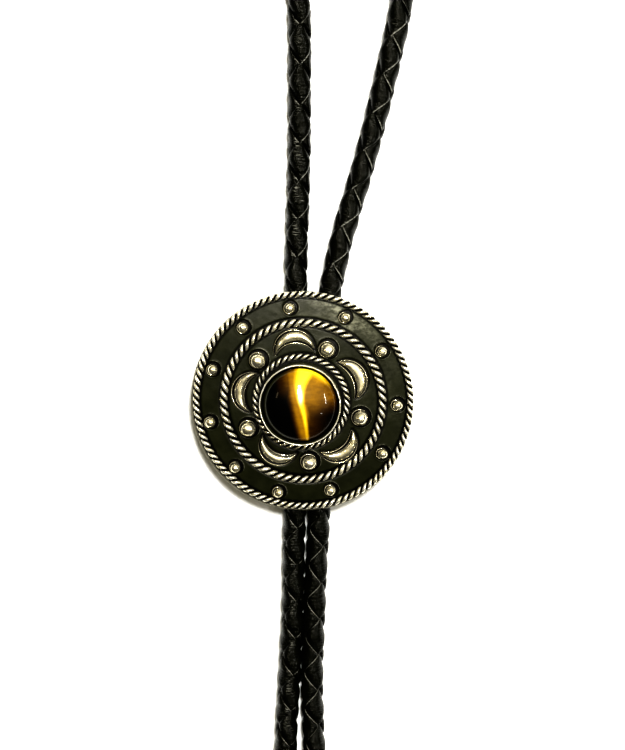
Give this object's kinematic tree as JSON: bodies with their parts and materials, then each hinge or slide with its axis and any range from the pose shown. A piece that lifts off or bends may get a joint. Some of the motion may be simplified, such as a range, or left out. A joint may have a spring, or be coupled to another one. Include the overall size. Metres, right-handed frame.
{
  "type": "bolo tie",
  "caption": "Bolo tie: round domed antiqued metal concho with rope borders, beads and crescents round a tiger's-eye cabochon, on a braided black leather cord with metal tips.",
  "frame": {"origin": "under the centre of the concho's disc, at the level of the clip's flat underside, on the surface that the tie lies on", "axes": "+Z out of the concho's face, +Y towards the neck loop, +X to the wearer's left as seen from the front (right in the picture)"},
  "size_m": [0.0466, 0.3641, 0.0148],
  "materials": {
    "antique_silver": "polished high spots over black oxidised recesses",
    "tigers_eye": "glossy banded golden brown stone with a moving bright band",
    "plain_metal": "plain satin",
    "black_leather": "black braided laces, half gloss with creases",
    "tip_metal": "polished with darkened grooves"
  },
  "bodies": {
    "root": {"concho": "antique_silver", "stone": "tigers_eye", "slide_clip": "plain_metal", "braided_cord": "black_leather", "tip_left": "tip_metal", "tip_right": "tip_metal"}
  },
  "joints": []
}
